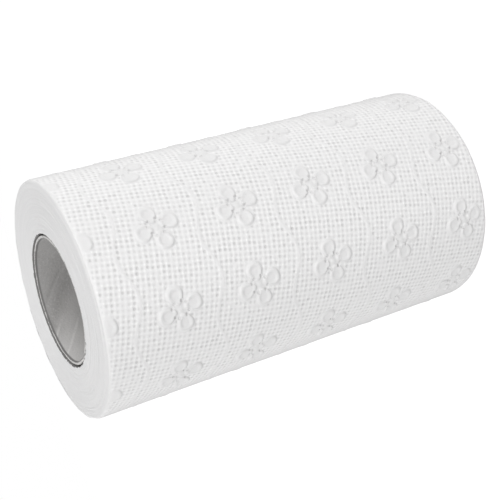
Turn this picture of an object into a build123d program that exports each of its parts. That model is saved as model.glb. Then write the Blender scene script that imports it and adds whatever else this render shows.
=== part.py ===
from build123d import *
from math import atan, ceil, cos, degrees, radians, sin, sqrt
import os

# Paper towel roll: soft white embossed paper, wound on a grey cardboard core.
# Millimetres. The roll stands on one end on z = 0 with its axis on +Z. Its front is -Y.
# Each section is drawn with the free edge of the last sheet on +X and turned at the end.

# Paper
sheet_width = 220.0
roll_radius = 60.25
sheet_thickness = 0.5
free_edge_turn = 90.0

# Strip along the side on which the soft roll has lain
flat_spot_width = 12.0
flat_spot_angle = 90.0

# Soft rims of the two ends
rim_reach = 2.4
rim_drop = 2.0
rim_knee_share = 0.3
inner_rim = 0.6

# Spiral line on the two ends, along a turn that stands out between many others
turns_between_lines = 18
turn_line_width = 0.5
turn_line_depth = 0.4
turn_line_margin = 2.2

# Embossed flowers, each of four low petals
flower_pitch_along = 41.8
flower_pitch_around = 39.5
first_flower_below_top = 37.5
flower_tilt = 13.0
petal_count = 4
petal_offset = 6.7
petal_sides = 4
petal_reach = 3.2
petal_crown_reach = 1.9
petal_height = 0.6
petal_root = 0.4

# Core
core_outer_radius = 33.0
core_wall = 2.0
core_set_back = 0.5

# Pressed place in the top rim of the core
bruise_width = 9.0
bruise_depth = 0.6
bruise_angle = 204.0

# Every cut and every common solid runs past its target by this much
overrun = 5.0


def half_circles(centre_shift, first_radius, step, count):
    """Half circles that follow each other as a spiral, every second one on a shifted centre."""
    arcs = []
    for turn in range(count):
        centre = (centre_shift * (turn % 2), 0)
        arcs.append(CenterArc(centre, first_radius + step * turn, 180 * (turn % 2), 180))
    return arcs


def roll_outline():
    """Section of the wound sheet: one turn of the spiral, closed by the free edge."""
    outer_turn = half_circles(-sheet_thickness / 2, roll_radius, -sheet_thickness / 2, 2)
    free_edge = Line((roll_radius - sheet_thickness, 0), (roll_radius, 0))
    return make_face(outer_turn + [free_edge])


def surface_radius(angle):
    """Distance from the axis to the outer turn, at an angle in degrees from the free edge."""
    if angle <= 180:
        return roll_radius
    return roll_radius - sheet_thickness * (1 + cos(radians(angle))) / 2


def trimmed_profile():
    """Half section that trims the wound sheet to its bore, flat ends and soft rims."""
    knee_in = rim_knee_share * rim_reach
    knee_down = rim_knee_share * rim_drop
    fall = (rim_drop - knee_down) / knee_in
    top_end = [
        (core_outer_radius, sheet_width - inner_rim),
        (core_outer_radius + inner_rim, sheet_width),
        (roll_radius - rim_reach, sheet_width),
        (roll_radius - knee_in, sheet_width - knee_down),
        (roll_radius + overrun, sheet_width - rim_drop - fall * overrun),
    ]
    bottom_end = [(radius, sheet_width - height) for radius, height in reversed(top_end)]
    return Plane.XZ * make_face(Polyline(*top_end, *bottom_end, close=True))


def winding_line():
    """Spiral strip on an end, along the turn that stands out from the others."""
    half_step = sheet_thickness * turns_between_lines / 2
    start = core_outer_radius + turn_line_margin
    room = roll_radius - rim_reach - turn_line_margin - start
    count = int(room / half_step)
    inner = half_circles(half_step, start - turn_line_width / 2, half_step, count)
    outer = half_circles(half_step, start + turn_line_width / 2, half_step, count)
    caps = [Line(inner[0] @ 0, outer[0] @ 0), Line(inner[-1] @ 1, outer[-1] @ 1)]
    return make_face(inner + outer + caps)


def petal_pillow():
    """Low pillow that stands out of the sheet along +X, is rooted in it and points down."""
    slope = (petal_reach - petal_crown_reach) / petal_height
    foot = RegularPolygon(petal_reach + slope * petal_root, petal_sides, major_radius=False)
    upright = extrude(foot, petal_root + petal_height, taper=degrees(atan(slope)))
    return Pos(-petal_root, 0, 0) * Rot(Y=90) * upright


def petal_spots():
    """Angle from the free edge, height and tilt of each petal that lies whole on the outer sheet."""
    row_angle = degrees(flower_pitch_around / roll_radius)
    edge_angle = degrees(petal_reach / roll_radius)
    flat_half_angle = degrees(flat_spot_width / 2 / roll_radius)
    rim_height = petal_reach + rim_drop
    rows = ceil(180 / row_angle)
    rings = ceil(sheet_width / flower_pitch_along)
    spots = []
    for row in range(-rows, rows):
        for ring in range(rings):
            for leaf in range(petal_count):
                tilt = flower_tilt + 360 / petal_count * leaf
                along = petal_offset * sin(radians(tilt))
                around = degrees(petal_offset * cos(radians(tilt)) / roll_radius)
                angle = 180 + (row + 0.5) * row_angle + around
                height = sheet_width - first_flower_below_top - ring * flower_pitch_along + along
                clear_of_edge = edge_angle < angle < 360 - edge_angle
                clear_of_flat = abs(angle - flat_spot_angle) > edge_angle + flat_half_angle
                clear_of_rims = rim_height < height < sheet_width - rim_height
                if clear_of_edge and clear_of_flat and clear_of_rims:
                    spots.append((angle, height, tilt))
    return spots


def make_paper_roll():
    """All turns of the paper as one solid."""
    pillow = petal_pillow()
    petals = []
    for angle, height, tilt in petal_spots():
        spot = Rot(Z=angle) * Pos(surface_radius(angle), 0, height)
        petals.append(spot * Rot(X=tilt - 90) * pillow)
    wound = extrude(roll_outline(), sheet_width) + petals
    roll = wound & revolve(trimmed_profile(), Axis.Z)
    line = winding_line()
    roll -= extrude(line, turn_line_depth)
    roll -= Pos(0, 0, sheet_width - turn_line_depth) * extrude(line, turn_line_depth + overrun)
    flat_at = sqrt(roll_radius**2 - (flat_spot_width / 2) ** 2)
    shaving = Box(2 * overrun, 2 * roll_radius, sheet_width + 2 * overrun)
    roll -= Rot(Z=flat_spot_angle) * Pos(flat_at + overrun, 0, sheet_width / 2) * shaving
    return Rot(Z=free_edge_turn) * roll


def make_core_tube():
    """Cardboard tube that the first turn is glued to, a little short of the paper at both ends."""
    length = sheet_width - 2 * core_set_back
    tube = Cylinder(core_outer_radius, length) - Cylinder(core_outer_radius - core_wall, length)
    tube = Pos(0, 0, sheet_width / 2) * tube
    middle = core_outer_radius - core_wall / 2
    bruise = Box(core_wall + overrun, bruise_width, 2 * bruise_depth)
    return tube - Rot(Z=bruise_angle) * Pos(middle, 0, sheet_width - core_set_back) * bruise


os.makedirs("parts", exist_ok=True)
for name, solid in (("paper_roll", make_paper_roll()), ("core_tube", make_core_tube())):
    export_step(solid, f"parts/{name}.step")
    print(name, "volume", round(solid.volume), "mm3")
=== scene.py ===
# %% [markdown]
# # A paper towel roll, dressed over its solid model
#
# The real thing is one long web of soft white paper, pressed with rows of dots and four-petal flowers,
# wound on a grey cardboard core. The solid model gives the sizes and the place. This script adds what the
# eye sees from near: the pressed pattern, the edges of the turns on the ends, and the rough board of the
# core. Everything is drawn in millimetres and made metres at the end of each piece.

import math

import bmesh
import bpy
from mathutils import Matrix, Quaternion, Vector, noise


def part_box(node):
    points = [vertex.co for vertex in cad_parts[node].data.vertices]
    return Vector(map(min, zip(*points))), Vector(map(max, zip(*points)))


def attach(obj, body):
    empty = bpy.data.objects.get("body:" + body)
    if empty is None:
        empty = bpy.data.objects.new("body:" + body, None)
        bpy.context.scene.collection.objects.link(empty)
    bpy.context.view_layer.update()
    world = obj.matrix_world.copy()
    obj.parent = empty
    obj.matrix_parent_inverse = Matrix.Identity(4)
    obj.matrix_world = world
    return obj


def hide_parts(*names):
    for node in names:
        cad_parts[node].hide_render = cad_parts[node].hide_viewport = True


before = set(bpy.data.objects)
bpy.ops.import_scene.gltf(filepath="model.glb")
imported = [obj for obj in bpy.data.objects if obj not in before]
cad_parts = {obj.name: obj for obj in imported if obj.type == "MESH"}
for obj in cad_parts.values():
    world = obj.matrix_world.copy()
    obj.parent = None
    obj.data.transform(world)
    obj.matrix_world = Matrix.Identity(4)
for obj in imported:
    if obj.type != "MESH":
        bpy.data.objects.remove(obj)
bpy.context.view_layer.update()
MM = 0.001
print("nodes of the solid model:", sorted(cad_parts))

# %% [markdown]
# ## Sizes
#
# The length of the roll and the core's radius are read from the solid model, so they can't drift from it.
# The radius of the roll can't be read there, because the petals stand out of it, so it is repeated.

# %% Sizes of the roll, in millimetres
roll_low, roll_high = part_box("paper_roll")
core_low, core_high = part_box("core_tube")
sheet_width = (roll_high.z - roll_low.z) / MM
core_radius = (core_high.x - core_low.x) / MM / 2
core_bottom = core_low.z / MM
core_top = core_high.z / MM
core_wall = 2.0
inner_radius = core_radius - core_wall
roll_radius = 60.25
turn_step = 0.5
print("sheet width", round(sheet_width, 1), "mm, core radius", round(core_radius, 1), "mm")

# %% [markdown]
# ## Camera
#
# In the photograph the roll lies on its side. Here it stands on its end, so the camera looks down on it
# from the front and is rolled about its own axis until the picture agrees. The focal length, the place and
# the roll come from fitting a cylinder to the outline in the photograph. Places are in metres.

# %% Camera
camera_place = Vector((0.0, -0.47868, 0.34930))
camera_back = Vector((0.0058, -0.8962, 0.4435))
camera_roll = math.radians(-106.69)
camera_lens = 72.18
sensor_width = 36.0
nearest_seen = 0.01
farthest_seen = 50.0

lens = bpy.data.cameras.new("camera")
lens.sensor_width = sensor_width
lens.lens = camera_lens
lens.clip_start = nearest_seen
lens.clip_end = farthest_seen
camera = bpy.data.objects.new("camera", lens)
bpy.context.collection.objects.link(camera)
camera.location = camera_place
camera.rotation_mode = "QUATERNION"
upright = (-camera_back).to_track_quat("-Z", "Y")
camera.rotation_quaternion = upright @ Quaternion((0, 0, 1), camera_roll)
bpy.context.scene.camera = camera
print("camera", [round(c, 3) for c in camera.location], "lens", camera_lens, "mm")

# %% [markdown]
# ## A soft step and a slow drift
#
# Pressed paper has no hard corners. A soft step turns a distance into a smooth share between 0 and 1, and
# nearly every form below is a height times such a share. With its limits in falling order, it falls.

# %% Soft step and drift
def soft_step(start, end, value):
    """Smooth share from 0 at start to 1 at end."""
    share = min(max((value - start) / (end - start), 0.0), 1.0)
    return share * share * (3.0 - 2.0 * share)


def drift(x, y, z):
    """Smooth chance value between -1 and 1, always the same at the same place."""
    return noise.noise(Vector((x, y, z)))


# %% [markdown]
# ## Building and finishing a piece
#
# A tube is a closed section spun round the axis. A thin sheet shows its thickness only where it ends, so its
# border is doubled there as a lip. Each finished piece gets its material and smooth shading, rides on the
# roll's one body and hides the solid it replaces.

# %% Spun section, lip and finished piece
def spin_section(bm, points, steps):
    """Closed ring: a section given as radii and heights, spun round the axis."""
    verts = [bm.verts.new((radius, 0, z)) for radius, z in points]
    edges = [bm.edges.new(pair) for pair in zip(verts, verts[1:] + verts[:1])]
    bmesh.ops.spin(
        bm, geom=verts + edges, cent=(0, 0, 0), axis=(0, 0, 1), angle=math.tau, steps=steps, use_merge=True
    )
    bmesh.ops.remove_doubles(bm, verts=bm.verts, dist=0.001)


def add_lip(bm, border):
    """Double the border edges on the spot and give back the new corners."""
    made = bmesh.ops.extrude_edge_only(bm, edges=border)["geom"]
    return [part for part in made if isinstance(part, bmesh.types.BMVert)]


def add_object(bm, name, material):
    """Object made from a mesh that was drawn in millimetres."""
    bmesh.ops.scale(bm, vec=(MM, MM, MM), verts=bm.verts)
    mesh = bpy.data.meshes.new(name)
    bm.to_mesh(mesh)
    bm.free()
    mesh.materials.append(material)
    thing = bpy.data.objects.new(name, mesh)
    bpy.context.collection.objects.link(thing)
    return thing


def finish_piece(bm, name, material, node):
    """Smooth piece that rides on the roll's one body."""
    piece = add_object(bm, name, material)
    piece.data.shade_smooth()
    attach(piece, "root")
    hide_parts(node)
    print(name, "has", sum(len(face.vertices) - 2 for face in piece.data.polygons), "triangles")


# %% [markdown]
# ## Nodes for the materials
#
# Each material is a small graph. These helpers add a node, set its values and join it to the next one, so
# that a finish reads as a short list of steps.

# %% Nodes and sums
def add_node(tree, kind, **settings):
    """A new node with its settings. Its kind is Blender's name without ShaderNode in front."""
    node = tree.nodes.new("ShaderNode" + kind)
    for name, value in settings.items():
        setattr(node, name, value)
    return node


def feed(tree, node, **inputs):
    """Give sockets a value or a link. A name has _ for a blank; i0 is the first socket."""
    for name, value in inputs.items():
        key = int(name[1:]) if name[0] == "i" and name[1:].isdigit() else name.replace("_", " ")
        socket = node.inputs[key]
        if isinstance(value, bpy.types.NodeSocket):
            tree.links.new(value, socket)
        else:
            socket.default_value = value
    return node


def new_node(tree, kind, **inputs):
    """A new node that is fed at once."""
    return feed(tree, add_node(tree, kind), **inputs)


def math_node(tree, operation, first, second=0.0):
    """One sum of two numbers."""
    node = add_node(tree, "Math", operation=operation)
    return feed(tree, node, i0=first, i1=second).outputs[0]


def plus(tree, first, second):
    """First number plus the second."""
    return math_node(tree, "ADD", first, second)


def minus(tree, first, second):
    """First number less the second."""
    return math_node(tree, "SUBTRACT", first, second)


def times(tree, first, second):
    """First number times the second."""
    return math_node(tree, "MULTIPLY", first, second)


def larger(tree, first, second):
    """The larger of two numbers."""
    return math_node(tree, "MAXIMUM", first, second)


def vector_node(tree, operation, first, second=(0.0, 0.0, 0.0)):
    """One sum of two vectors; a length, a distance or a dot product comes out as a number."""
    node = feed(tree, add_node(tree, "VectorMath", operation=operation), i0=first)
    if operation not in ("FRACTION", "FLOOR", "LENGTH"):
        feed(tree, node, i1=second)
    return node.outputs["Value" if operation in ("LENGTH", "DISTANCE", "DOT_PRODUCT") else "Vector"]


# %% [markdown]
# ## Steps that every finish takes
#
# The soft step comes back as a node, a tint mixes two colours by a share, and a bump turns a fine height
# into a normal. Each finish starts as an empty Principled shader.

# %% Steps of a finish
def soft_range(tree, value, start, end, low=0.0, high=1.0):
    """The soft step as a node, between two output values."""
    node = add_node(tree, "MapRange", interpolation_type="SMOOTHSTEP", clamp=True)
    feed(tree, node, Value=value, From_Min=start, From_Max=end, To_Min=low, To_Max=high)
    return node.outputs["Result"]


def tinted(tree, share, first, second):
    """A colour between two. A Mix node keeps its colours in inputs 6 and 7 and gives output 2."""
    node = add_node(tree, "Mix", data_type="RGBA")
    return feed(tree, node, Factor=share, i6=first, i7=second).outputs[2]


def bumped(tree, height, strength, depth):
    """Bump node for a fine height, whose depth is given in metres."""
    return new_node(tree, "Bump", Strength=strength, Distance=depth, Height=height)


def round_place(tree):
    """Place of a point on the object, its distance from the axis, its angle and its height."""
    place = add_node(tree, "TexCoord").outputs["Object"]
    parts = new_node(tree, "SeparateXYZ", Vector=place)
    radius = vector_node(tree, "LENGTH", vector_node(tree, "MULTIPLY", place, (1.0, 1.0, 0.0)))
    angle = math_node(tree, "ARCTAN2", parts.outputs["Y"], parts.outputs["X"])
    return place, radius, angle, parts.outputs["Z"]


def empty_tree(owner):
    """The cleared node tree of a material or of the world."""
    owner.use_nodes = True
    owner.node_tree.nodes.clear()
    return owner.node_tree


def new_material(name):
    """An empty material with a Principled shader."""
    material = bpy.data.materials.new(name)
    tree = empty_tree(material)
    shader = add_node(tree, "BsdfPrincipled")
    new_node(tree, "OutputMaterial", Surface=shader.outputs["BSDF"])
    return material, tree, shader


def finish_material(material, shader, colour, bump, roughness, shine):
    """Join the colour and the bump to the shader of a finish."""
    tree = material.node_tree
    feed(tree, shader, Base_Color=colour, Normal=bump.outputs[0])
    feed(tree, shader, Roughness=roughness, Specular_IOR_Level=shine)
    print(material.name, "is made of", len(tree.nodes), "nodes")
    return material


# %% [markdown]
# ## Fibres
#
# Tissue is made of short fibres that lie in all directions, and it is creped while it dries, which leaves
# very fine ripples. The core's board is the same stuff pressed harder. So one group makes the fibre clouds
# for all three finishes, each with its own grain, counted per metre.

# %% Fibre group
tissue_grain = 2600.0
board_grain = 900.0
cloud_size = 9.0
cloud_range = (0.3, 0.7)
knot_grain = 0.7
knot_share = 0.3


def make_fibre_group():
    """Group that gives a cloudy shade and a fine height, both from 0 to 1."""
    group = bpy.data.node_groups.new("fibres", "ShaderNodeTree")
    group.interface.new_socket("Vector", in_out="INPUT", socket_type="NodeSocketVector")
    group.interface.new_socket("Grain", in_out="INPUT", socket_type="NodeSocketFloat")
    group.interface.new_socket("Shade", in_out="OUTPUT", socket_type="NodeSocketFloat")
    group.interface.new_socket("Height", in_out="OUTPUT", socket_type="NodeSocketFloat")
    entry = group.nodes.new("NodeGroupInput")
    place = entry.outputs["Vector"]
    grain = entry.outputs["Grain"]
    coarse = math_node(group, "DIVIDE", grain, cloud_size)
    clouds = new_node(group, "TexNoise", Vector=place, Scale=coarse, Detail=3.0)
    fine = new_node(group, "TexNoise", Vector=place, Scale=grain, Detail=4.0, Roughness=0.65, Distortion=0.6)
    cells = new_node(group, "TexVoronoi", Vector=place, Scale=times(group, grain, knot_grain))
    knots = soft_range(group, cells.outputs["Distance"], 0.05, 0.5)
    ripples = times(group, fine.outputs["Fac"], 1.0 - knot_share)
    height = plus(group, times(group, knots, knot_share), ripples)
    feed(group, group.nodes.new("NodeGroupOutput"), Shade=clouds.outputs["Fac"], Height=height)
    return group


fibre_group = make_fibre_group()


def fibres(tree, place, grain):
    """The fibre group, placed in a material with its own grain."""
    node = add_node(tree, "Group", node_tree=fibre_group)
    return feed(tree, node, Vector=place, Grain=grain)


print("the fibre group is made of", len(fibre_group.nodes), "nodes")

# %% [markdown]
# ## The pressed pattern: flowers
#
# The rollers repeat one square: a flower of four petals in its middle, a smooth wavy ridge along two sides,
# a wavy row of bolder dots along the other two, and fine dots between. All of it is written as the height
# of the paper over a flat map: x runs along the web from its free edge, y runs up. It is a common towel
# pattern, drawn from a few sizes. Each point is looked up in the flower nearest to it.

# %% Flowers on the flat map
web_middle = math.pi * roll_radius
flower_step_around = 39.5
flower_step_up = 41.8
first_flower_below_top = 37.5
first_flower = sheet_width - first_flower_below_top
flower_tilt = math.radians(13)
petal_offset = 6.7
petal_half_length = 4.4
petal_half_width = 3.75
petal_taper = 0.32
least_half_width = 0.5


def in_flower(x, y, near_x, near_y):
    """Place of a point in the flower nearest to another, with the petals on the axes."""
    column = math.floor((near_x - web_middle) / flower_step_around) + 0.5
    ring = round((first_flower - near_y) / flower_step_up)
    right = x - web_middle - column * flower_step_around
    up = y - first_flower + ring * flower_step_up
    cosine, sine = math.cos(flower_tilt), math.sin(flower_tilt)
    return right * cosine + up * sine, up * cosine - right * sine


def petal_share(across, up):
    """Distance from the nearest petal's middle, where 1 is the petal's outline."""
    out, side = (abs(across), up) if abs(across) > abs(up) else (abs(up), across)
    out -= petal_offset
    width = petal_half_width * (1.0 + petal_taper * out / petal_half_length)
    return math.hypot(out / petal_half_length, side / max(width, least_half_width))


print("petals", 2 * petal_half_length, "mm long and", 2 * petal_half_width, "mm wide")

# %% [markdown]
# ## The pressed pattern: ridges, rows and dots
#
# The ridges run round the roll and the rows along it, both as gentle waves between the flowers. The field
# of dots is a square grid, turned by eleven degrees.

# %% Ridges, rows and dots on the flat map
wave_up = 2.83
wave_across = 3.0
dot_step = 2.57
dot_tilt = math.radians(11)
tilt_cos, tilt_sin = math.cos(dot_tilt), math.sin(dot_tilt)


def off_nearest(value, step):
    """Distance of a value from the nearest whole number of steps."""
    return abs((value + step / 2) % step - step / 2)


def ridge_distance(x, y):
    """Distance to the nearest smooth wavy ridge that runs round the roll."""
    crest = first_flower + flower_step_up / 2
    crest += wave_up * math.sin(math.tau * (x - web_middle) / flower_step_around)
    return off_nearest(y - crest, flower_step_up)


def row_distance(x, y):
    """Distance to the nearest wavy row of bolder dots that runs along the roll."""
    sway = wave_across * math.sin(math.tau * (y - first_flower) / flower_step_up)
    return off_nearest(x - web_middle - sway, flower_step_around)


def dot_place(x, y):
    """Place on the field of dots: whole numbers are the middles of the dots."""
    return (x * tilt_cos - y * tilt_sin) / dot_step, (x * tilt_sin + y * tilt_cos) / dot_step


print("about", round(math.tau * roll_radius * sheet_width / dot_step**2), "dots on the outer turn")

# %% [markdown]
# ## Height of a flower
#
# A petal is a raised rim round a shallow dish, with a groove outside it. A small nick lies at each side of
# a petal's inner end, and a low button in the flower's middle. Each is a height times a soft step of a
# distance, or of the share of the petal, which is 1 on its outline.

# %% Height of a flower
petal_foot = 1.12
petal_crest = 0.86
petal_floor = 0.45
petal_rim = 0.5
petal_dish = 0.38
nick_out = 3.8
nick_aside = 1.95
nick_depth = 0.4
nick_reach = 1.1
nick_floor = 0.2
groove_at = 1.2
groove_half = 0.28
groove_depth = 0.14
button_height = 0.35
button_foot = 1.9
button_top = 0.6


def flower_height(across, up, share):
    """Height of a flower at a point, whose share of the nearest petal is known."""
    height = petal_rim * soft_step(petal_foot, petal_crest, share)
    height -= petal_dish * soft_step(petal_crest, petal_floor, share)
    out, side = max(abs(across), abs(up)), min(abs(across), abs(up))
    off_nick = math.hypot(out - nick_out, side - nick_aside)
    height -= nick_depth * soft_step(nick_reach, nick_floor, off_nick)
    height -= groove_depth * soft_step(groove_half, 0.0, abs(share - groove_at))
    return height + button_height * soft_step(button_foot, button_top, math.hypot(across, up))


print("a petal's rim stands", petal_rim, "mm out and its dish", round(petal_rim - petal_dish, 2), "mm")

# %% [markdown]
# ## Strength of the dots
#
# Dots leave out the petals and the button, are faint on a ridge, and are bolder in the rows and beside the
# ridges. Soft paper never takes the rollers evenly, so a slow noise makes weaker and stronger patches.

# %% Strength of the dots
dots_off_petal = 1.3
dots_off_button = (3.2, 4.0)
ridge_clear = (0.5, 1.3)
dots_on_ridge = 0.15
row_reach = (2.6, 1.0)
row_extra = 0.4
beside_ridge = (4.2, 2.6)
beside_extra = 0.3
patch_mean = 0.8
patch_range = 0.5
patch_grain = 0.35


def dot_strength(x, y, share, off_middle, ridge):
    """How strongly the dots are pressed: 1 is the plain field."""
    strength = soft_step(petal_foot, dots_off_petal, share) * soft_step(*dots_off_button, off_middle)
    strength *= dots_on_ridge + (1.0 - dots_on_ridge) * soft_step(*ridge_clear, ridge)
    strength *= 1.0 + row_extra * soft_step(*row_reach, row_distance(x, y))
    strength *= 1.0 + beside_extra * soft_step(*beside_ridge, ridge)
    patch = drift(x * patch_grain, y * patch_grain, 0.0)
    return strength * (patch_mean + patch_range * patch)


# %% [markdown]
# ## Height of the pressed paper
#
# The whole pattern is the sum of its forms. Flowers and ridges fade near the cut edges, where winding rubs
# them flat, and the dots fade in the last two millimetres. The strength of the dots is given back too,
# because the material needs it.

# %% Height of the pressed paper over its flat map
ridge_height = 0.2
ridge_reach = (1.1, 0.2)
dot_depth = 0.26
dot_radius = 0.85
dot_floor = 0.1
dot_chance = 0.5
dot_chance_grain = 0.9
crepe_height = 0.06
crepe_grain = (1.1, 0.5)
form_fade = (1.0, 8.0)
dot_fade = (0.2, 1.8)


def relief(x, y):
    """Height of the pressed paper, and how strong its dots are there."""
    across, up = in_flower(x, y, x, y)
    share = petal_share(across, up)
    ridge = ridge_distance(x, y)
    strength = dot_strength(x, y, share, math.hypot(across, up), ridge)
    u, v = dot_place(x, y)
    chance = 1.0 + dot_chance * drift(u * dot_chance_grain, v * dot_chance_grain, 7.0)
    away = dot_step * math.hypot(u - round(u), v - round(v))
    pit = dot_depth * strength * chance * soft_step(dot_radius, dot_floor, away)
    crepe = crepe_height * drift(x * crepe_grain[0], y * crepe_grain[1], 3.0)
    forms = flower_height(across, up, share) + ridge_height * soft_step(*ridge_reach, ridge)
    edge = min(y, sheet_width - y)
    flattened = soft_step(*dot_fade, edge)
    return forms * soft_step(*form_fade, edge) - pit * flattened + crepe, strength * flattened


print("a dot is pressed", dot_depth, "mm deep and a ridge stands", ridge_height, "mm out")

# %% [markdown]
# ## Pressed paper: flowers
#
# The mesh carries the large slopes of the pattern, but its cells are nearly a millimetre wide. So the
# material draws the same forms once more, finer, as bump. It finds them on a flat map called flower, which
# gives the place in the nearest flower. The nicks come out as a mask too, which paints these deep spots
# darker as painted shade.

# %% Flowers in the material
mark_foot = petal_foot + 0.02
mark_crest = petal_crest + 0.04
mark_dish = petal_crest - 0.02
petal_bump = 0.5


def flower_marks(tree):
    """Height of a flower from its own flat map, and a mask of its nicks."""
    spot = add_node(tree, "UVMap", uv_map="flower").outputs[0]
    parts = new_node(tree, "SeparateXYZ", Vector=spot)
    across = math_node(tree, "ABSOLUTE", parts.outputs["X"])
    up = math_node(tree, "ABSOLUTE", parts.outputs["Y"])
    far = larger(tree, across, up)
    aside = math_node(tree, "MINIMUM", across, up)
    along = math_node(tree, "DIVIDE", minus(tree, far, petal_offset), petal_half_length)
    widen = times(tree, along, petal_taper * petal_half_width)
    width = larger(tree, plus(tree, widen, petal_half_width), least_half_width)
    pair = new_node(tree, "CombineXYZ", X=along, Y=math_node(tree, "DIVIDE", aside, width))
    share = vector_node(tree, "LENGTH", pair.outputs[0])
    raised = soft_range(tree, share, mark_foot, mark_crest, 0.0, petal_rim)
    dished = soft_range(tree, share, mark_dish, petal_floor, 0.0, petal_dish)
    petal = times(tree, minus(tree, raised, dished), petal_bump)
    corner = new_node(tree, "CombineXYZ", X=far, Y=aside).outputs[0]
    off_nick = vector_node(tree, "DISTANCE", corner, (nick_out, nick_aside, 0.0))
    nicks = soft_range(tree, off_nick, nick_reach, nick_floor)
    return minus(tree, petal, times(tree, nicks, nick_depth)), nicks


# %% [markdown]
# ## Pressed paper: dots and tear line
#
# The two plies stick together at each pressed dot. The pits are painted darker there, as painted shade for
# the light lost in them. Between four pits the paper bulges out and is painted lighter, as a painted
# highlight. The map called web finds both: one unit of it is one dot. A chance value moves each dot a little
# and makes it weaker or stronger. The sheets are parted by a row of small cuts with a bond of paper after
# each. It is straight on the web, so for it the map is turned back by the tilt of the dots.

# %% Dots and tear line in the material
dot_stray = 0.16
weakest_dot = 0.5
dot_core = 0.02
sheet_length = 280.0
slit_step = 9.0
slit_edge = (0.5, 0.1)
slit_end = (0.46, 0.38)


def dot_spots(tree, web, offset, reach):
    """Soft round spots on the field of dots, one for each square, no two quite as strong."""
    moved = vector_node(tree, "ADD", web, (offset, offset, 0.5))
    chance = add_node(tree, "TexWhiteNoise", noise_dimensions="2D")
    feed(tree, chance, Vector=vector_node(tree, "FLOOR", moved))
    stray = vector_node(tree, "MULTIPLY", chance.outputs["Color"], (dot_stray, dot_stray, 0.0))
    middle = vector_node(tree, "ADD", stray, (0.5 - dot_stray / 2, 0.5 - dot_stray / 2, 0.5))
    away = vector_node(tree, "DISTANCE", vector_node(tree, "FRACTION", moved), middle)
    strength = plus(tree, chance.outputs["Value"], weakest_dot)
    return times(tree, soft_range(tree, away, reach, dot_core), strength)


def tear_slits(tree, web):
    """Mask of the row of small cuts between two sheets."""
    along_web = vector_node(tree, "DOT_PRODUCT", web, (tilt_cos * dot_step, tilt_sin * dot_step, 0.0))
    up = vector_node(tree, "DOT_PRODUCT", web, (-tilt_sin * dot_step, tilt_cos * dot_step, 0.0))
    away = math_node(tree, "ABSOLUTE", minus(tree, along_web, sheet_length))
    part = math_node(tree, "FRACT", math_node(tree, "DIVIDE", up, slit_step))
    off_middle = math_node(tree, "ABSOLUTE", minus(tree, part, 0.5))
    line = soft_range(tree, away, *slit_edge)
    return times(tree, line, soft_range(tree, off_middle, *slit_end))


# %% [markdown]
# ## Pressed paper: the finish
#
# Most of the contrast is painted shade, as real paper darkens in its pits under soft light from all sides.
# Mottled paper gets a painted highlight on the bulges, and is then drawn towards the pits' grey, as painted
# shade, by the strongest mask: pits, plain stretches, cuts, nicks, or paper seen so much aslant that only
# the near sides of its pits show. Heights are in millimetres, over a finer fibre bump.

# %% Material of the pressed sheets
paper_colour = (0.873, 0.869, 0.869, 1.0)
# Painted highlight on the bulges between the pits.
bulge_highlight_colour = (0.955, 0.951, 0.951, 1.0)
# Grey of the painted shade in the pits.
pit_shade_colour = (0.71, 0.705, 0.705, 1.0)
mottled_colour = (0.83808, 0.83424, 0.83424, 1.0)
pit_reach = 0.45
bulge_reach = 0.36
plain_below = 0.5
plain_shade = 0.25
mottle_shade = 0.35
nick_shade = 0.75
aslant_from = 0.7
dot_press = 0.14
dot_bulge = 0.08
slit_depth = 0.2
fibre_depth = 0.12


def make_sheet_material():
    """Soft white paper with crisp dots and flowers, painted shade in its pits and painted highlights on its
    bulges.
    """
    material, tree, shader = new_material("pressed_paper")
    web = add_node(tree, "UVMap", uv_map="web").outputs[0]
    place = add_node(tree, "TexCoord").outputs["Object"]
    strength = add_node(tree, "Attribute", attribute_name="dots").outputs["Fac"]
    # Mask of the pits, for their bump and for the painted shade that darkens them.
    pits = times(tree, dot_spots(tree, web, 0.5, pit_reach), strength)
    bulges = times(tree, dot_spots(tree, web, 0.0, bulge_reach), strength)
    slits = tear_slits(tree, web)
    flower, nicks = flower_marks(tree)
    tissue = fibres(tree, place, tissue_grain)
    mottle = soft_range(tree, tissue.outputs["Shade"], *cloud_range, 0.0, mottle_shade)
    # The bulges between pits are painted lighter: a painted highlight.
    ground = tinted(tree, bulges, tinted(tree, mottle, paper_colour, mottled_colour), bulge_highlight_colour)
    # Plain stretches without dots are painted a little darker: painted shade.
    plain = soft_range(tree, strength, plain_below, 0.0, 0.0, plain_shade)
    # Paper seen aslant is painted darker towards the outline: painted shade.
    facing = new_node(tree, "LayerWeight", Blend=0.5).outputs["Facing"]
    aslant_shade = soft_range(tree, facing, aslant_from, 1.0)
    # Pits, plain stretches, cuts, nicks and aslant paper are all painted towards the pits' grey: painted
    # shade.
    shade = math_node(tree, "MINIMUM", larger(tree, pits, plain), 1.0)
    for mask in (slits, times(tree, nicks, nick_shade), aslant_shade):
        shade = larger(tree, shade, mask)
    height = minus(tree, flower, times(tree, pits, dot_press))
    height = plus(tree, height, times(tree, bulges, dot_bulge))
    height = minus(tree, height, times(tree, slits, slit_depth))
    fibre_bump = bumped(tree, tissue.outputs["Height"], 0.5, fibre_depth * MM)
    bump = feed(tree, bumped(tree, height, 1.0, MM), Normal=fibre_bump.outputs[0])
    colour = tinted(tree, shade, ground, pit_shade_colour)
    return finish_material(material, shader, colour, bump, roughness=0.93, shine=0.18)


sheet_material = make_sheet_material()

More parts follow.
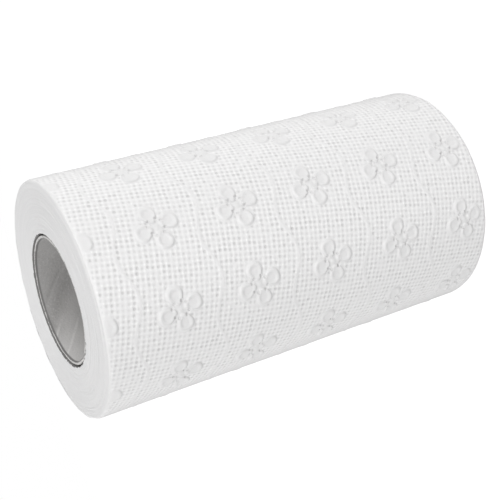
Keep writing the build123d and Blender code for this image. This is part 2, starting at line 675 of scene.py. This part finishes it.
# %% [markdown]
# ## Edges of the turns
#
# On the ends one sees the cut edges of some fifty turns. Light gets lost between them, so they are painted a
# little greyer than the sheet, as painted shade, with thin darker lines of painted shade that follow the
# winding. The lines are found from the distance to the axis, less a part of one step that grows with the
# angle, which makes them a true spiral.
# Round the core runs a thin dark ring of painted shade, in the narrow gap where the first turn is glued on.
# Its width follows a noise read on a circle, so it closes without a seam.

# %% Material of the wound ends
# The cut edges are painted greyer than the sheet: painted shade.
shaded_edge_colour = (0.82, 0.817, 0.818, 1.0)
# Grey of the painted shade in the lines between the turns; the random bands darken towards it too.
gap_shade_colour = (0.775, 0.773, 0.776, 1.0)
# Painted shade in the gap round the core.
core_gap_shade_colour = (0.2, 0.197, 0.194, 1.0)
core_gap_least = 0.55
core_gap_most = 1.15
core_gap_grain = 14.0
line_shade = 0.25
line_height = 0.25
band_shade = 0.4
band_grain = 0.55
edge_depth = 0.15


def core_gap_shade_ring(tree, off_core, sine, cosine):
    """Mask of the painted shade in the gap round the core."""
    circle = new_node(tree, "CombineXYZ", X=cosine, Y=sine)
    ragged = new_node(tree, "TexNoise", Vector=circle.outputs[0], Scale=core_gap_grain, Detail=4.0)
    reach = soft_range(tree, ragged.outputs["Fac"], 0.35, 0.65, core_gap_least * MM, core_gap_most * MM)
    return soft_range(tree, math_node(tree, "DIVIDE", off_core, reach), 1.1, 0.85)


def make_end_material():
    """Cut edges of the wound paper."""
    material, tree, shader = new_material("wound_edges")
    place, radius, angle, _ = round_place(tree)
    sine = math_node(tree, "SINE", angle)
    cosine = math_node(tree, "COSINE", angle)
    count = math_node(tree, "DIVIDE", radius, turn_step * MM)
    winding = minus(tree, count, math_node(tree, "DIVIDE", angle, math.tau))
    wave = math_node(tree, "SINE", times(tree, winding, math.tau))
    around = new_node(tree, "CombineXYZ", X=times(tree, count, band_grain), Y=sine, Z=cosine)
    bands = new_node(tree, "TexNoise", Vector=around.outputs[0], Scale=1.0, Detail=2.0)
    # Thin lines between the turns are painted darker: painted shade.
    line = soft_range(tree, wave, 0.2, -1.0, 0.0, line_shade)
    band = soft_range(tree, bands.outputs["Fac"], 0.42, 0.66, 0.0, band_shade)
    paper = tinted(tree, plus(tree, line, band), shaded_edge_colour, gap_shade_colour)
    off_core = minus(tree, radius, core_radius * MM)
    # The ring round the core is painted dark: painted shade in the gap to the paper.
    colour = tinted(tree, core_gap_shade_ring(tree, off_core, sine, cosine), paper, core_gap_shade_colour)
    tissue = fibres(tree, place, tissue_grain)
    lines = times(tree, wave, line_height)
    bump = bumped(tree, plus(tree, lines, tissue.outputs["Height"]), 0.5, edge_depth * MM)
    return finish_material(material, shader, colour, bump, roughness=0.95, shine=0.15)


end_material = make_end_material()

# %% [markdown]
# ## Core board: the inside
#
# The core is grey board wound in a slant from strips. Inside, the seam is a soft line at a slant, with a
# darker tone beside it, then two pale scuffs and a wide worn stretch. Flecks come from waste paper. The
# slant was read from the photograph. All marks hang on one number: the share of the way across the strip.

# %% Inside of the core
board_colour = (0.43, 0.423, 0.417, 1.0)
board_dark = (0.33, 0.323, 0.317, 1.0)
board_pale = (0.66, 0.65, 0.64, 1.0)
scuff_colour = (0.72, 0.71, 0.70, 1.0)
seam_slant = 0.7
seam_start = 36.0
seam_pitch = seam_slant * math.tau * inner_radius
cloud_shade = 0.5
tone_shade = 0.5
tone_rise = (0.0, 0.05)
tone_fall = (0.12, 0.04)
worn_shade = 0.6
worn_rise = (0.05, 0.14)
worn_fall = (0.6, 0.3)
fleck_shade = 0.4
fleck_range = (0.62, 0.8)
seam_shade = 0.3
scuff_shade = 0.6
scuffs_at = (0.088, 0.161)
scuff_edge = (0.009, 0.001)
scuff_breaks = (0.35, 0.6)
scuffed_side = (math.radians(100), math.radians(125))


def strip_share(tree, angle, z):
    """Place across the slanting strip: 0 at one seam, 1 at the next."""
    depth = minus(tree, sheet_width * MM, z)
    along = times(tree, angle, seam_slant * inner_radius * MM)
    slant = math_node(tree, "DIVIDE", plus(tree, depth, along), seam_pitch * MM)
    return math_node(tree, "FRACT", minus(tree, slant, seam_start / seam_pitch))


def scuff_marks(tree, strip, angle, height):
    """Mask of the broken pale scuffs along the seam, on one side of the core."""
    lines = []
    for scuff_at in scuffs_at:
        off_line = math_node(tree, "ABSOLUTE", minus(tree, strip, scuff_at))
        lines.append(soft_range(tree, off_line, *scuff_edge))
    scuffs = times(tree, larger(tree, *lines), soft_range(tree, height, *scuff_breaks))
    scuffs = times(tree, scuffs, soft_range(tree, angle, *scuffed_side))
    return times(tree, scuffs, scuff_shade)


def wall_colour(tree, strip, seam, angle, grain):
    """Colour of the board inside the core."""
    clouds = soft_range(tree, grain.outputs["Shade"], *cloud_range, 0.0, cloud_shade)
    ground = tinted(tree, clouds, board_colour, board_dark)
    tone = soft_range(tree, strip, *tone_rise, 0.0, tone_shade)
    tone = times(tree, tone, soft_range(tree, strip, *tone_fall))
    toned = tinted(tree, tone, ground, board_dark)
    worn = soft_range(tree, strip, *worn_rise, 0.0, worn_shade)
    worn = times(tree, worn, soft_range(tree, strip, *worn_fall))
    flecks = soft_range(tree, grain.outputs["Height"], *fleck_range, 0.0, fleck_shade)
    flecked = tinted(tree, flecks, tinted(tree, worn, toned, board_pale), board_pale)
    scuffs = scuff_marks(tree, strip, angle, grain.outputs["Height"])
    scuffed = tinted(tree, scuffs, flecked, scuff_colour)
    return tinted(tree, times(tree, seam, seam_shade), scuffed, board_dark)


print("the seam comes round every", round(seam_pitch), "mm")

# %% [markdown]
# ## Core board: the cut edge and the finish
#
# The saw leaves the plies mottled. A ragged dark line of painted shade runs along the inner edge of the cut,
# and another dark line of painted shade along its outer edge, beside the paper. The cut edge is only the
# last millimetre of each end, so the height decides where the walls stop.

# %% Material of the core
# Grey of the painted shade at the inner and outer edge of the cut.
cut_shade_colour = (0.2, 0.197, 0.194, 1.0)
inner_shade_least = 0.05
inner_shade_most = 0.45
inner_shade_blur = 0.1
cut_begins = 1.3
cut_full = 0.7
outer_shade_from = 0.35
outer_shade_to = 0.6
seam_edge = (0.012, 0.001)
seam_groove = 0.4
board_depth = 0.3


def cut_colour(tree, radius, height):
    """Colour of the cut edge: mottled plies between two dark lines of painted shade."""
    # A ragged dark line of painted shade along the inner edge.
    inner_shade_line = soft_range(tree, height, 0.4, 0.6, inner_shade_least * MM, inner_shade_most * MM)
    off_inner_shade = minus(tree, minus(tree, radius, inner_radius * MM), inner_shade_line)
    past_inside = soft_range(tree, off_inner_shade, -inner_shade_blur * MM, inner_shade_blur * MM)
    # A dark line of painted shade along the outer edge, beside the paper.
    shade_from, shade_to = (core_radius - outer_shade_from) * MM, (core_radius - outer_shade_to) * MM
    past_outside = soft_range(tree, radius, shade_from, shade_to)
    plies = tinted(tree, soft_range(tree, height, 0.4, 0.62), board_dark, board_pale)
    return tinted(tree, times(tree, past_inside, past_outside), cut_shade_colour, plies)


def make_board_material():
    """Grey board with a slanting seam, wear, scuffs and flecks."""
    material, tree, shader = new_material("grey_board")
    place, radius, angle, z = round_place(tree)
    strip = strip_share(tree, angle, z)
    off_seam = math_node(tree, "MINIMUM", strip, minus(tree, 1.0, strip))
    seam = soft_range(tree, off_seam, *seam_edge)
    grain = fibres(tree, place, board_grain)
    walls = wall_colour(tree, strip, seam, angle, grain)
    cut = cut_colour(tree, radius, grain.outputs["Height"])
    half = (core_top - core_bottom) / 2
    off_middle = math_node(tree, "ABSOLUTE", minus(tree, z, (core_top + core_bottom) / 2 * MM))
    at_end = soft_range(tree, off_middle, (half - cut_begins) * MM, (half - cut_full) * MM)
    colour = tinted(tree, at_end, walls, cut)
    height = minus(tree, grain.outputs["Height"], times(tree, seam, seam_groove))
    bump = bumped(tree, height, 0.7, board_depth * MM)
    return finish_material(material, shader, colour, bump, roughness=0.88, shine=0.25)


board_material = make_board_material()

# %% [markdown]
# ## Winding the flat sheet: distance from the axis
#
# A flat grid is the easy place to press a pattern, and a roll is that grid bent round the axis. The web
# sinks by one thickness before it comes round to its own free edge. The free edge isn't glued, so it lifts
# by about a millimetre, more at some heights than at others, and the web runs on a little below it, pressed
# flat. A real roll is never quite round, so slow waves are added.

# %% Distance of the web from the axis
out_of_round = 0.22
round_grain = 3.0
length_grain = 0.02
cover_from = 0.5
cover_to = 3.5
cover_sink = 0.25
edge_lift = 0.8
lift_reach = 12.0
lift_mean = 0.7
lift_range = 0.9
lift_grain = 0.03


def wound_radius(turned):
    """Distance of a perfect web from the axis, by how far it is turned from the free edge."""
    if turned <= math.pi:
        return roll_radius
    return roll_radius - turn_step * (1.0 + math.cos(min(turned, math.tau))) / 2


def web_radius(x, y, height):
    """Distance of a point of the web from the axis, before the flat strip and the rims."""
    turned = x / roll_radius
    slow = drift(round_grain * math.cos(turned), round_grain * math.sin(turned), y * length_grain)
    covered = soft_step(cover_from, cover_to, x - math.tau * roll_radius)
    lifted = lift_mean + lift_range * drift(y * lift_grain, 0.0, 11.0)
    radius = wound_radius(turned) + out_of_round * slow
    radius += height * (1.0 - covered) - cover_sink * covered
    return radius + edge_lift * lifted * soft_step(lift_reach, 0.0, x)


print("free edge lifted by up to", round(edge_lift * (lift_mean + lift_range), 1), "mm")

# %% [markdown]
# ## Winding the flat sheet: flat strip and rims
#
# The soft roll has lain on its side, so it is flat along a narrow strip, with the pattern nearly pressed
# out. At both rims the paper bends in and down, because nothing holds the last millimetres, and the cut
# wanders a little.

# %% Bend a point of the flat map onto the roll
free_edge_at = math.radians(90)
flat_half = 6.0
flat_at = math.sqrt(roll_radius**2 - flat_half**2)
flat_outside = 2.0
flat_inside = 1.0
flat_relief = 0.3
rim_reach = 2.2
rim_in = 0.5
rim_down = 0.4
rim_wander = 0.2
wander_grain = (0.12, 0.01)


def on_roll(x, y, height):
    """Point of the wound web, from its place on the flat map and its height."""
    turned = x / roll_radius
    radius = web_radius(x, y, height)
    off_flat = turned - math.pi / 2
    pressed = soft_step(flat_half + flat_outside, flat_half - flat_inside, abs(off_flat) * roll_radius)
    if pressed:
        chord = flat_at / math.cos(off_flat) + flat_relief * height
        radius += pressed * (min(chord, radius) - radius)
    edge = min(y, sheet_width - y)
    lean = max(1.0 - edge / rim_reach, 0.0)
    radius -= rim_in * lean * lean
    wander = drift(x * wander_grain[0], y * wander_grain[1], 5.0)
    shift = lean * lean * (rim_down + rim_wander * wander)
    z = y + shift if y < sheet_width / 2 else y - shift
    angle = free_edge_at + turned
    return Vector((radius * math.cos(angle), radius * math.sin(angle), z))


print("the flat strip lies", round(flat_at, 2), "mm from the axis")

# %% [markdown]
# ## A grid for the dots
#
# The grid is laid along the rows of dots, with three cells from dot to dot, so each dot's bottom falls on a
# corner. Four straight cuts trim it to the sheet.

# %% Flat grid
cells_per_dot = 3


def flat_grid(left, right):
    """Flat grid along the rows of dots, trimmed to the sheet between two places on the web."""
    cell = dot_step / cells_per_dot
    width, height = right - left, sheet_width
    columns = 2 * math.ceil((width * tilt_cos + height * tilt_sin) / 2 / cell) + 2
    rows = 2 * math.ceil((width * tilt_sin + height * tilt_cos) / 2 / cell) + 2
    u, v = dot_place((left + right) / 2, height / 2)
    u, v = dot_step * round(u), dot_step * round(v)
    centre = Vector((u * tilt_cos + v * tilt_sin, v * tilt_cos - u * tilt_sin, 0.0))
    size = Matrix.Diagonal((columns * cell / 2, rows * cell / 2, 1.0, 1.0))
    place = Matrix.Translation(centre) @ Matrix.Rotation(-dot_tilt, 4, "Z") @ size
    bm = bmesh.new()
    bmesh.ops.create_grid(bm, x_segments=columns, y_segments=rows, size=1.0, matrix=place)
    cuts = (
        ((left, 0, 0), (-1, 0, 0)),
        ((right, 0, 0), (1, 0, 0)),
        ((0, 0, 0), (0, -1, 0)),
        ((0, height, 0), (0, 1, 0)),
    )
    for spot, outwards in cuts:
        everything = bm.verts[:] + bm.edges[:] + bm.faces[:]
        bmesh.ops.bisect_plane(bm, geom=everything, plane_co=spot, plane_no=outwards, clear_outer=True)
    return bm


print("one cell of the grid is", round(dot_step / cells_per_dot, 2), "mm wide")

# %% [markdown]
# ## The last sheets
#
# The outermost sheet ends in the free edge on one side and in the row of small cuts on the other. The sheet
# before it goes on from there until it runs under the free edge. They are two pieces only because one mesh
# would be too heavy, so they meet exactly at the cuts and have no lip there. The rims and the free edge do
# get a lip, which gives the paper its thickness.

# %% Make the sheets
edge_turned_in = 0.9
free_edge_thick = 0.45
plain_rim = 5.0
outside_flower = (30.0, 30.0)
same_place = 0.01


def map_sheet(bm):
    """Write the two maps: place on the field of dots, and place in the flower."""
    web = bm.loops.layers.uv.new("web")
    flower = bm.loops.layers.uv.new("flower")
    for face in bm.faces:
        centre = face.calc_center_median()
        near_rim = min(centre.y, sheet_width - centre.y) < plain_rim
        for loop in face.loops:
            x, y, _ = loop.vert.co
            loop[web].uv = dot_place(x, y)
            loop[flower].uv = outside_flower if near_rim else in_flower(x, y, centre.x, centre.y)


def turn_outwards(bm):
    """Let a sheet's faces look away from the axis, judged by the one nearest to half height."""
    bmesh.ops.recalc_face_normals(bm, faces=bm.faces)
    middle = min(bm.faces, key=lambda face: abs(face.calc_center_median().z - sheet_width / 2))
    if middle.normal.dot(middle.calc_center_median() * Vector((1, 1, 0))) < 0:
        bmesh.ops.reverse_faces(bm, faces=bm.faces)


def at_cuts(edge):
    """Whether an edge lies on the row of small cuts."""
    return all(abs(vert.co.x - sheet_length) <= same_place for vert in edge.verts)


def make_sheet(name, left, right):
    """One sheet: flat grid, maps, pattern, turned-in edges, then the bend round the axis."""
    bm = flat_grid(left, right)
    map_sheet(bm)
    dots = bm.verts.layers.float.new("dots")
    for vert in bm.verts:
        x, y, _ = vert.co
        vert.co.z, vert[dots] = relief(x, y)
    for vert in add_lip(bm, [edge for edge in bm.edges if edge.is_boundary and not at_cuts(edge)]):
        vert.co.z = -free_edge_thick if vert.co.x < same_place else -edge_turned_in
        vert[dots] = 0.0
    for vert in bm.verts:
        vert.co = on_roll(*vert.co)
    turn_outwards(bm)
    finish_piece(bm, name, sheet_material, "paper_roll")


under_free_edge = lift_reach + 3.0
make_sheet("last_sheet", 0.0, sheet_length)
make_sheet("sheet_before", sheet_length, math.tau * roll_radius + under_free_edge)

# %% [markdown]
# ## The wound turns: how far each edge stands out
#
# No two turns end at quite the same height. Each wanders by about a tenth of a millimetre, and one in
# eighteen lies deeper, which draws the wide spiral line seen on such rolls. Towards the rim the turns
# follow the last sheet down.

# %% Height of the edges on an end
first_turn = core_radius + 0.3
edge_raise = 0.06
edge_wander = 0.12
edge_flutter = 0.07
swirl_step = 9.0
swirl_depth = 0.16
swirl_reach = (0.8, 0.1)
round_off = (roll_radius - 3.8, roll_radius - 1.2)


def end_height(radius, turn, angle):
    """How far the edge of a turn stands out of the flat end."""
    height = edge_wander * drift(turn * 0.8, 2 * math.cos(angle), 2 * math.sin(angle))
    height += edge_flutter * drift(turn * 2.7, math.cos(angle), 5 + math.sin(angle))
    swirl = off_nearest(radius - first_turn - swirl_step * angle / math.tau, swirl_step)
    height -= swirl_depth * soft_step(*swirl_reach, swirl)
    return height - rim_down * soft_step(*round_off, radius)


print("a deeper turn comes every", round(swirl_step / turn_step), "turns")

# %% [markdown]
# ## The wound turns: a strip bent into a spiral
#
# The ends are the edge of one ribbon wound some fifty times, so that is how they are made: a long narrow
# strip with its middle raised, bent into a spiral in which each turn meets the one before. A lip closes its
# border, and a plain ring behind both ends closes the body.

# %% Make the wound turns
end_reach = roll_radius - 1.3
turns = int((end_reach - first_turn) / turn_step)
steps_per_turn = 120
lip_depth = 1.6
ring_outside = roll_radius - 1.0
ring_set_back = 1.3
ring_steps = 96


def add_end(bm, top):
    """Spiral of paper edges on one end."""
    strip = bmesh.new()
    bmesh.ops.create_grid(strip, x_segments=turns * steps_per_turn, y_segments=2, size=0.5)
    for vert in strip.verts:
        turn = (vert.co.x + 0.5) * turns
        across = vert.co.y + 0.5
        raised = edge_raise * (1.0 - 4.0 * abs(across - 0.5))
        angle = math.tau * turn
        radius = first_turn + turn_step * (turn + across)
        out = end_height(radius, turn + across, angle % math.tau) + raised
        z = sheet_width + out if top else -out
        vert.co = (radius * math.cos(angle), radius * math.sin(angle), z)
    bmesh.ops.remove_doubles(strip, verts=strip.verts, dist=0.02)
    for vert in add_lip(strip, [edge for edge in strip.edges if edge.is_boundary]):
        vert.co.z += -lip_depth if top else lip_depth
    bmesh.ops.recalc_face_normals(strip, faces=strip.faces)
    widest = max(strip.faces, key=lambda face: face.calc_area())
    if (widest.normal.z > 0) != top:
        bmesh.ops.reverse_faces(strip, faces=strip.faces)
    mesh = bpy.data.meshes.new("strip")
    strip.to_mesh(mesh)
    strip.free()
    bm.from_mesh(mesh)
    bpy.data.meshes.remove(mesh)


def make_wound_turns():
    """Both ends and the closed ring behind them."""
    bm = bmesh.new()
    low, high = ring_set_back, sheet_width - ring_set_back
    corners = [(first_turn, low), (ring_outside, low), (ring_outside, high), (first_turn, high)]
    spin_section(bm, corners, ring_steps)
    bmesh.ops.recalc_face_normals(bm, faces=bm.faces)
    add_end(bm, top=True)
    add_end(bm, top=False)
    finish_piece(bm, "wound_turns", end_material, "paper_roll")


make_wound_turns()
print("turns on each end:", turns)

# %% [markdown]
# ## The core: its section
#
# The section is drawn once and spun round the axis: outer wall, a cut edge that shows its plies as fine
# steps, and the inner wall, whose many rows let it take the slanting seam.

# %% Section of the core
plies = 6
ply_proud = 0.02
ply_sunk = 0.14
bore_rows = 60
wall_set_back = 1.0
outside_inset = 0.05
outside_set_back = 1.2


def cut_section():
    """Points of the cut edge, from the outer wall inwards: radius, and depth below the end."""
    points = [(core_radius - 0.2, 0.35)]
    for ply in range(plies + 1):
        radius = core_radius - 0.3 - (core_wall - 0.4) * ply / plies
        points.append((radius, ply_proud if ply % 2 else ply_sunk))
    points.append((inner_radius + 0.02, 0.3))
    return points


def core_section():
    """Closed section of the tube: up the outside, over the top, down the inside and back below."""
    row_step = (core_top - core_bottom - 2 * wall_set_back) / bore_rows
    outside = core_radius - outside_inset
    section = [(outside, core_bottom + outside_set_back), (outside, core_top - outside_set_back)]
    section += [(radius, core_top - depth) for radius, depth in cut_section()]
    section += [(inner_radius, core_top - wall_set_back - row_step * row) for row in range(bore_rows + 1)]
    section += [(radius, core_bottom + depth) for radius, depth in reversed(cut_section())]
    return section


print("the core's section has", len(core_section()), "points")

# %% [markdown]
# ## The core: wear
#
# Then the corners are moved a little. The saw has torn the cut edges, the wall isn't quite round, the seam
# makes a small step at a slant, and the top rim has the short pressed place of the photograph.

# %% Make the core
core_steps = 240
cut_zone = 0.9
rim_wear = 0.16
rim_flutter = 0.06
wall_wander = 0.05
deepest_tear = -0.6
seam_step = 0.06
bruise_angle = math.radians(204)
bruise_half = 4.5
bruise_depth = 0.6


def worn_place(fresh):
    """Where a point of the fresh tube lies on the worn one."""
    angle = math.atan2(fresh.y, fresh.x)
    radius = math.hypot(fresh.x, fresh.y)
    z = fresh.z
    at_cut = min(z - core_bottom, core_top - z) < cut_zone
    if at_cut:
        inwards = 1 if z < sheet_width / 2 else -1
        tear = drift(angle * 14, radius * 1.4, z)
        tear += 0.6 * drift(angle * 45, radius * 2, z)
        z += inwards * rim_wear * max(tear, deepest_tear)
        radius += rim_flutter * drift(angle * 30, radius, z + 9)
    else:
        radius += wall_wander * drift(angle * 6, z * 0.1, 0)
    if at_cut and z > sheet_width / 2:
        off_bruise = off_nearest(angle - bruise_angle, math.tau) * core_radius
        z -= bruise_depth * soft_step(bruise_half, bruise_half - 1.0, off_bruise)
    if radius < inner_radius + 0.1:
        strip = (sheet_width - z + seam_slant * inner_radius * angle - seam_start) % seam_pitch
        radius += seam_step * (0.5 - strip / seam_pitch)
    return Vector((radius * math.cos(angle), radius * math.sin(angle), z))


def make_core():
    """Spun tube with torn cut edges, a slanting seam and the pressed place."""
    bm = bmesh.new()
    spin_section(bm, core_section(), core_steps)
    for vert in bm.verts:
        vert.co = worn_place(vert.co)
    bmesh.ops.recalc_face_normals(bm, faces=bm.faces)
    finish_piece(bm, "core", board_material, "core_tube")


make_core()

# %% [markdown]
# ## Floor
#
# The photograph was taken on plain white. A pale floor alone would look grey beside it, and more light
# would burn out the roll. So the floor adds white of its own, only for rays from the camera or off
# something glossy or clear. It still darkens where the roll keeps the light off it, and fades to pure white
# farther out, so no horizon shows.

# %% Floor
floor_half = 12000.0
floor_below = 0.4
floor_colour = (0.62, 0.62, 0.62, 1.0)
floor_glow = 0.7
floor_fades = (0.3, 1.0)
white = (1.0, 1.0, 1.0, 1.0)


def seen_directly(tree):
    """1 for rays from the camera, or from glossy or clear surfaces, else 0."""
    rays = add_node(tree, "LightPath")
    seen = larger(tree, rays.outputs["Is Camera Ray"], rays.outputs["Is Glossy Ray"])
    return larger(tree, seen, rays.outputs["Is Transmission Ray"])


def make_floor_material():
    """Pale matt floor that the camera sees as white."""
    material = bpy.data.materials.new("white_floor")
    tree = empty_tree(material)
    seen = seen_directly(tree)
    matt = new_node(tree, "BsdfDiffuse", Color=floor_colour)
    glow = new_node(tree, "Emission", Color=white, Strength=times(tree, seen, floor_glow))
    near = new_node(tree, "AddShader", i0=matt.outputs[0], i1=glow.outputs[0])
    far = new_node(tree, "Emission", Color=white, Strength=1.0)
    place = add_node(tree, "TexCoord").outputs["Object"]
    fade = soft_range(tree, vector_node(tree, "LENGTH", place), *floor_fades)
    share = times(tree, fade, seen)
    faded = new_node(tree, "MixShader", i0=share, i1=near.outputs[0], i2=far.outputs[0])
    new_node(tree, "OutputMaterial", Surface=faded.outputs[0])
    return material


def make_floor():
    """Wide white floor just under the roll."""
    bm = bmesh.new()
    bmesh.ops.create_grid(bm, x_segments=1, y_segments=1, size=floor_half)
    bmesh.ops.translate(bm, vec=(0, 0, -floor_below), verts=bm.verts)
    floor = add_object(bm, "floor", make_floor_material())


make_floor()

# %% [markdown]
# ## World and lamps
#
# The light is soft, comes mostly from one long side of the roll and leaves hardly any shadow. An even world
# does much of it and is pure white where the camera sees it. The key lamp lights the side that is up in the
# picture, the fill softens the end and the lower side, and a weak lamp lights the back. All look at the
# middle of the roll.

# %% World and lamps
world_light = 0.39
lamp_aim = Vector((0, 0, 0.11))


def make_world():
    """Even light from all round, white where the camera sees it."""
    world = bpy.data.worlds.new("studio")
    bpy.context.scene.world = world
    tree = empty_tree(world)
    extra = times(tree, seen_directly(tree), 1.0 - world_light)
    back = new_node(tree, "Background", Color=white, Strength=plus(tree, extra, world_light))
    new_node(tree, "OutputWorld", Surface=back.outputs[0])


def add_lamp(name, place, size, power):
    """Square soft lamp that looks at the middle of the roll."""
    light = bpy.data.lights.new(name, "AREA")
    light.size = size
    light.energy = power
    lamp = bpy.data.objects.new(name, light)
    bpy.context.collection.objects.link(lamp)
    lamp.location = place
    lamp.rotation_mode = "QUATERNION"
    lamp.rotation_quaternion = (lamp_aim - Vector(place)).to_track_quat("-Z", "Y")
    print("lamp", name, "gives", power, "W")


make_world()
add_lamp("key", (1.67, -1.22, 0.86), size=1.2, power=28.0)
add_lamp("fill", (-1.47, -0.80, 1.55), size=0.9, power=24.0)
add_lamp("back", (-0.60, 1.70, 0.50), size=0.6, power=8.0)

bpy.context.scene.view_settings.view_transform = "Standard"
